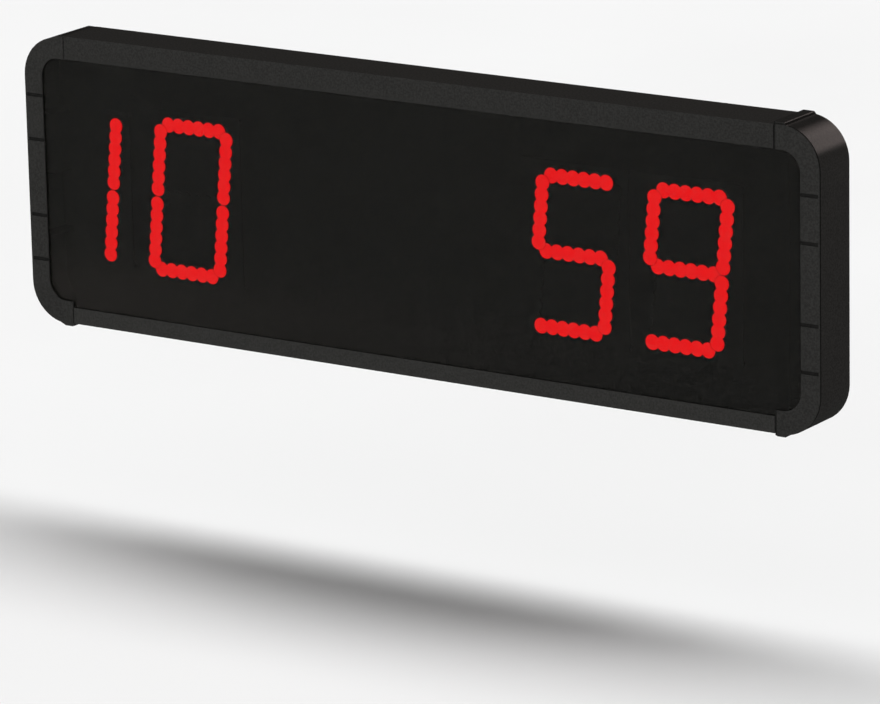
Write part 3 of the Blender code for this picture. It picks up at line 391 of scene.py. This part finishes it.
def smoked_sheet(name):
    """Dark tinted sheet: what is behind it shows through only where it is lit."""
    sheet = Surface(name, specular_ior_level=0.1, alpha=window_cover)
    cloud = sheet.noise(size=50 * MM)
    grain = speckle(sheet, size=4.2 * MM)
    share = weighted(cloud, grain, share=0.15)
    sheet.dress(base_color=sheet.mix(share, *around(window_level, window_spread, window_warmth)))
    sheet.dress(roughness=between(grain, low=0.07, high=0.15))
    sheet.bump(grain, depth=0.008 * MM)
    return sheet.material


def lit_lens(name):
    """Red diffusing lens with its lamp on. Only its face glows, and its sides are painted black."""
    lens = Surface(name, roughness=0.45, specular_ior_level=0.1, emission_strength=lamp_strength)
    face_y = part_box("digit_2_segment_a")[0].y
    face = lens.axis("Y") < face_y + lens_face_depth
    cloud = lens.ramp(lens.noise(size=6 * MM, detail=1), low=0.35, high=0.65)
    glow = lens.mix(cloud, deep_glow, bright_glow)
    lens.dress(base_color=lens.mix(face, grey(side_paint_level), lens_red))
    lens.dress(emission_color=lens.mix(face, grey(0.0), glow))
    return lens.material


def dark_lens(name):
    """The same lens with its lamp off: tinted, so that it doesn't show."""
    lens = Surface(name, roughness=0.5, specular_ior_level=0.1)
    cloud = lens.noise(size=5 * MM)
    lens.dress(base_color=lens.mix(cloud, *around(level=0.004, spread=0.3)))
    return lens.material


def black_laminate(name):
    """Circuit board with a matt black resist and faint runs of track under it."""
    board = Surface(name, roughness=0.6, specular_ior_level=0.1)
    fibre = board.noise(size=0.8 * MM, detail=1, stretch=(1, 1, 6))
    board.dress(base_color=board.mix(fibre, *around(level=0.005, spread=0.3)))
    board.bump(fibre, depth=0.02 * MM)
    return board.material


def green_laminate(name):
    """Circuit board with a green resist that is paler over its tracks."""
    board = Surface(name, roughness=0.4)
    track = board.noise(size=2.5 * MM, detail=1, stretch=(1, 1, 8)) > track_from
    board.dress(base_color=board.mix(track, bare_green, track_green))
    board.bump(track, depth=0.03 * MM)
    return board.material


def zinc_steel(name):
    """Bright zinc plate with a cloudy film and fine drawing marks."""
    steel = Surface(name, metallic=1.0)
    cloud = steel.noise(size=18 * MM, detail=4)
    marks = steel.noise(size=0.7 * MM)
    steel.dress(base_color=steel.mix(cloud, dull_zinc, bright_zinc))
    steel.dress(roughness=between(marks, low=0.28, high=0.4) + 0.1 * cloud)
    steel.bump(marks, depth=0.01 * MM)
    return steel.material


def black_anodised(name):
    """Black anodised plate with upright brush marks."""
    sheet = Surface(name, metallic=0.4, specular_ior_level=0.1)
    marks = sheet.noise(size=0.6 * MM, stretch=(1, 1, 0.05))
    sheet.dress(base_color=sheet.mix(marks, *around(level=0.005, spread=0.2)))
    sheet.dress(roughness=between(marks, low=0.5, high=0.6))
    return sheet.material


def rubber(name):
    seal = Surface(name, specular_ior_level=0.1)
    grain = seal.noise(size=0.7 * MM)
    seal.dress(base_color=seal.mix(grain, *around(level=0.012, spread=0.3)))
    seal.dress(roughness=between(grain, low=0.75, high=0.85))
    seal.bump(grain, depth=0.05 * MM)
    return seal.material


def fuse_glass(name):
    """Glass tube with a plated cap at each end, told apart by the distance from its middle."""
    fuse = Surface(name)
    low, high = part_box("fuse")
    middle = (low.y + high.y) / 2
    cap_start = (high.y - low.y) / 2 - fuse_cap_length
    cap = fuse.maths("ABSOLUTE", fuse.axis("Y") - middle) > cap_start
    fuse.dress(base_color=fuse.mix(cap, clear_glass, plated_brass))
    fuse.dress(metallic=cap)
    fuse.dress(roughness=between(cap, low=0.1, high=0.32))
    return fuse.material


finishes = {
    "rail_coat": rail_coat,
    "panel_coat": powder_coat,
    "cap_coat": moulded_cap,
    "smoked_window": smoked_sheet,
    "gasket_rubber": rubber,
    "chassis_black": black_anodised,
    "zinc_steel": zinc_steel,
    "supply_cage": zinc_steel,
    "lit_dots": lit_lens,
    "unlit_dots": dark_lens,
    "figure_board": black_laminate,
    "control_laminate": green_laminate,
    "black_plastic": black_moulding,
    "rocker_plastic": rocker_plastic,
    "button_plastic": button_plastic,
    "fuse_glass": fuse_glass,
}


def dress_nodes():
    """One material for each slot, given to every CAD node that takes its finish from it."""
    made = {slot: finish(slot + "_finish") for slot, finish in finishes.items()}
    for name, node in nodes.items():
        node.data.materials.clear()
        node.data.materials.append(made[slot_of[name]])


# Finer pieces: each CAD solid with its flat faces joined, its edges rounded and its curves smooth

merge_distance = 0.001 * MM
flat_angle = math.radians(0.5)
edge_angle = math.radians(38)
smooth_angle = math.radians(40)
edge_steps = 2
even_weight = 100

edge_rounding = {
    "top_rail": 0.5 * MM,
    "bottom_rail": 0.5 * MM,
    "left_end_cap": 0.3 * MM,
    "right_end_cap": 0.3 * MM,
    "front_window": 0.25 * MM,
    "rear_panel": 0.3 * MM,
    "left_hanger": 0.3 * MM,
    "right_hanger": 0.3 * MM,
    "connector_plate": 0.15 * MM,
    "mains_inlet": 0.3 * MM,
    "fuse_drawer": 0.2 * MM,
    "mains_switch": 0.3 * MM,
    "mains_rocker": 0.25 * MM,
    "setup_switches": 0.3 * MM,
    "setup_button_left": 0.25 * MM,
    "setup_button_right": 0.25 * MM,
    "data_socket": 0.3 * MM,
}
screw_rounding = 0.2 * MM


def joined_faces(name):
    """The node's solid with its loose triangles welded and its flat faces made whole."""
    shape = bmesh.new()
    shape.from_mesh(nodes[name].data)
    bmesh.ops.remove_doubles(shape, verts=shape.verts, dist=merge_distance)
    bmesh.ops.dissolve_limit(shape, angle_limit=flat_angle, verts=shape.verts, edges=shape.edges)
    return shape


def round_edges(shape, width):
    sharp = [edge for edge in shape.edges if edge.is_manifold and edge.calc_face_angle() > edge_angle]
    bmesh.ops.bevel(
        shape,
        geom=sharp,
        offset=width,
        offset_type="OFFSET",
        segments=edge_steps,
        profile=0.5,
        affect="EDGES",
        clamp_overlap=False,
        material=-1,
    )


def finer_piece(name, width):
    """Stands for a CAD node: the same solid, rounded along its edges and evenly shaded."""
    shape = joined_faces(name)
    round_edges(shape, width)
    mesh = mesh_of(name + "_finished", shape)
    mesh.shade_smooth()
    mesh.set_sharp_from_angle(angle=smooth_angle)
    mesh.materials.append(nodes[name].data.materials[0])
    piece = link_to_scene(name + "_finished", mesh)
    shading = piece.modifiers.new("Even shading", "WEIGHTED_NORMAL")
    shading.keep_sharp = True
    shading.weight = even_weight
    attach(piece, body_of[name])
    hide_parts(name)
    return piece


def finer_pieces():
    widths = dict(edge_rounding)
    widths.update({name: screw_rounding for name in nodes if "_screw_" in name})
    return [finer_piece(name, width) for name, width in widths.items()]


# Floor and surround

floor_height = -0.45
floor_size = 60.0
floor_level = 0.8
floor_cloud_size = 0.9
floor_cloud_spread = 0.03
surround_shown = 0.9
surround_light = 0.28


def flat_sheet(name, low, high, height):
    """Level rectangle between two corners (x, y), at a height."""
    shape = bmesh.new()
    bmesh.ops.create_grid(shape, x_segments=1, y_segments=1, size=0.5)
    size = (high[0] - low[0], high[1] - low[1], 1)
    bmesh.ops.scale(shape, verts=shape.verts, vec=size)
    middle = ((low[0] + high[0]) / 2, (low[1] + high[1]) / 2, height)
    bmesh.ops.translate(shape, verts=shape.verts, vec=middle)
    sheet = link_to_scene(name, mesh_of(name, shape))
    return sheet


def pale_floor(name):
    """Matt pale floor. Its underside is clear, so that the board can be looked at from below."""
    floor = Surface(name, roughness=0.9, specular_ior_level=0.0)
    cloud = floor.noise(floor_cloud_size, detail=3)
    floor.dress(base_color=floor.mix(cloud, *around(floor_level, floor_cloud_spread)))
    floor.dress(alpha=1 - floor.node("ShaderNodeNewGeometry")["Backfacing"])
    return floor.material


def add_floor():
    half = floor_size / 2
    floor = flat_sheet("floor", (-half, -half), (half, half), floor_height)
    floor.data.materials.append(pale_floor("floor"))
    return floor


def add_world():
    """Soft light from all round, under a pale surround for the camera, mirrors and glass."""
    world = bpy.data.worlds.new("studio")
    world.use_nodes = True
    bpy.context.scene.world = world
    tree = world.node_tree
    light = tree.nodes["Background"]
    shown = tree.nodes.new("ShaderNodeBackground")
    for background, strength in ((light, surround_light), (shown, surround_shown)):
        background.inputs["Color"].default_value = grey(1.0)
        background.inputs["Strength"].default_value = strength
    ray = tree.nodes.new("ShaderNodeLightPath")
    any_sight = ray.outputs["Is Camera Ray"]
    for sight in ("Is Glossy Ray", "Is Transmission Ray"):
        either = tree.nodes.new("ShaderNodeMath")
        either.operation = "MAXIMUM"
        tree.links.new(any_sight, either.inputs[0])
        tree.links.new(ray.outputs[sight], either.inputs[1])
        any_sight = either.outputs[0]
    choose = tree.nodes.new("ShaderNodeMixShader")
    for index, output in enumerate((any_sight, light.outputs[0], shown.outputs[0])):
        tree.links.new(output, choose.inputs[index])
    tree.links.new(choose.outputs[0], tree.nodes["World Output"].inputs["Surface"])


# Warm strip on the floor that only mirrors see, so that the foot of the window shines faintly

mirrored_card_low = (-1.9, -1.134)
mirrored_card_high = (0.5, -0.8)
mirrored_card_glow = (1.85, 1.66, 1.58, 1)
mirrored_card_fade = (-1.35, -0.15)
clear_of_floor = 1 * MM


def fading_paper(name):
    """Glow that fades along X to that of the floor."""
    paper = Surface(name, base_color=grey(0.0), specular_ior_level=0.0, emission_strength=1.0)
    first, last = mirrored_card_fade
    fade = (paper.axis("X") - first) / (last - first)
    share = paper.maths("MINIMUM", paper.maths("MAXIMUM", fade, 0.0), 1.0)
    paper.dress(emission_color=paper.mix(share, mirrored_card_glow, grey(surround_shown)))
    return paper.material


def add_mirrored_card():
    height = floor_height + clear_of_floor
    card = flat_sheet("mirrored_card", mirrored_card_low, mirrored_card_high, height)
    for kind in ("camera", "diffuse", "transmission", "shadow", "volume_scatter"):
        setattr(card, "visible_" + kind, False)
    card.data.materials.append(fading_paper("card"))


# Lights: high suns for the floor and its soft shadow, and soft boxes for the board

floor_sun_strength = 3.6
floor_sun_spread = math.radians(24)
floor_sun_tilts = (-1.2, -0.8, -0.4, 0.0, 0.4, 0.8, 1.2)
floor_sun_aim = (0.171, -0.42)

board_middle = (0, 0, 0)
front_light_place = (-1.2, -5.0, 2.6)
front_light_size = (4.0, 2.5)
front_light_radiance = 7.0
top_light_place = (0, -0.1, 2.6)
top_light_size = (2.6, 1.4)
top_light_radiance = 0.1
back_light_place = (1.09, 2.72, 1.27)
back_light_aim = (0.58, -0.03, 0.17)
back_light_size = (2.5, 1.0)
back_light_radiance = 9.5
back_light_colour = (1.0, 0.82, 0.78)
back_light_roll = math.radians(25)


def lit_alone(name, things):
    """Group of the only things that a lamp lights. The rest still throws its shadow on them."""
    group = bpy.data.collections.new(name)
    for thing in things:
        group.objects.link(thing)
    return group


def pointing(line):
    """Turn that points a lamp along a line."""
    return Vector(line).to_track_quat("-Z", "Y")


def add_floor_suns(floor):
    """High lights behind the board, spread along it, which light the floor round its shadow."""
    group = lit_alone("floor_only", [floor])
    for index, tilt in enumerate(floor_sun_tilts):
        lamp = bpy.data.lights.new(f"floor_sun_{index + 1}", "SUN")
        lamp.energy = floor_sun_strength / len(floor_sun_tilts)
        lamp.angle = floor_sun_spread
        sun = link_to_scene(lamp.name, lamp)
        sun.rotation_euler = pointing((floor_sun_aim[0] + tilt, floor_sun_aim[1], -1)).to_euler()
        sun.light_linking.receiver_collection = group


def soft_box(name, group, place, aim, size, radiance):
    """Soft light on a group, square on to what it aims at, whose face is as bright as radiance."""
    lamp = bpy.data.lights.new(name, "AREA")
    lamp.shape = "RECTANGLE"
    lamp.size, lamp.size_y = size
    lamp.energy = radiance * math.pi * size[0] * size[1]
    box = link_to_scene(name, lamp)
    box.location = place
    box.rotation_euler = pointing(Vector(aim) - Vector(place)).to_euler()
    box.visible_camera = False
    box.light_linking.receiver_collection = group
    return box


def add_back_light(group):
    """Warm light high behind the board, tilted so that its sheen runs down the cap's corner."""
    box = soft_box(
        "back_light", group, back_light_place, back_light_aim, back_light_size, back_light_radiance
    )
    box.data.color = back_light_colour
    roll = Quaternion((0, 0, 1), back_light_roll)
    box.rotation_euler = (box.rotation_euler.to_quaternion() @ roll).to_euler()


def add_lights(board):
    group = lit_alone("board_only", board)
    soft_box("front_light", group, front_light_place, board_middle, front_light_size, front_light_radiance)
    soft_box("top_light", group, top_light_place, board_middle, top_light_size, top_light_radiance)
    add_back_light(group)


add_camera()
add_world()
add_floor_suns(add_floor())
add_mirrored_card()
dress_nodes()
add_lights(list(nodes.values()) + finer_pieces())

bpy.context.scene.view_settings.view_transform = "Standard"
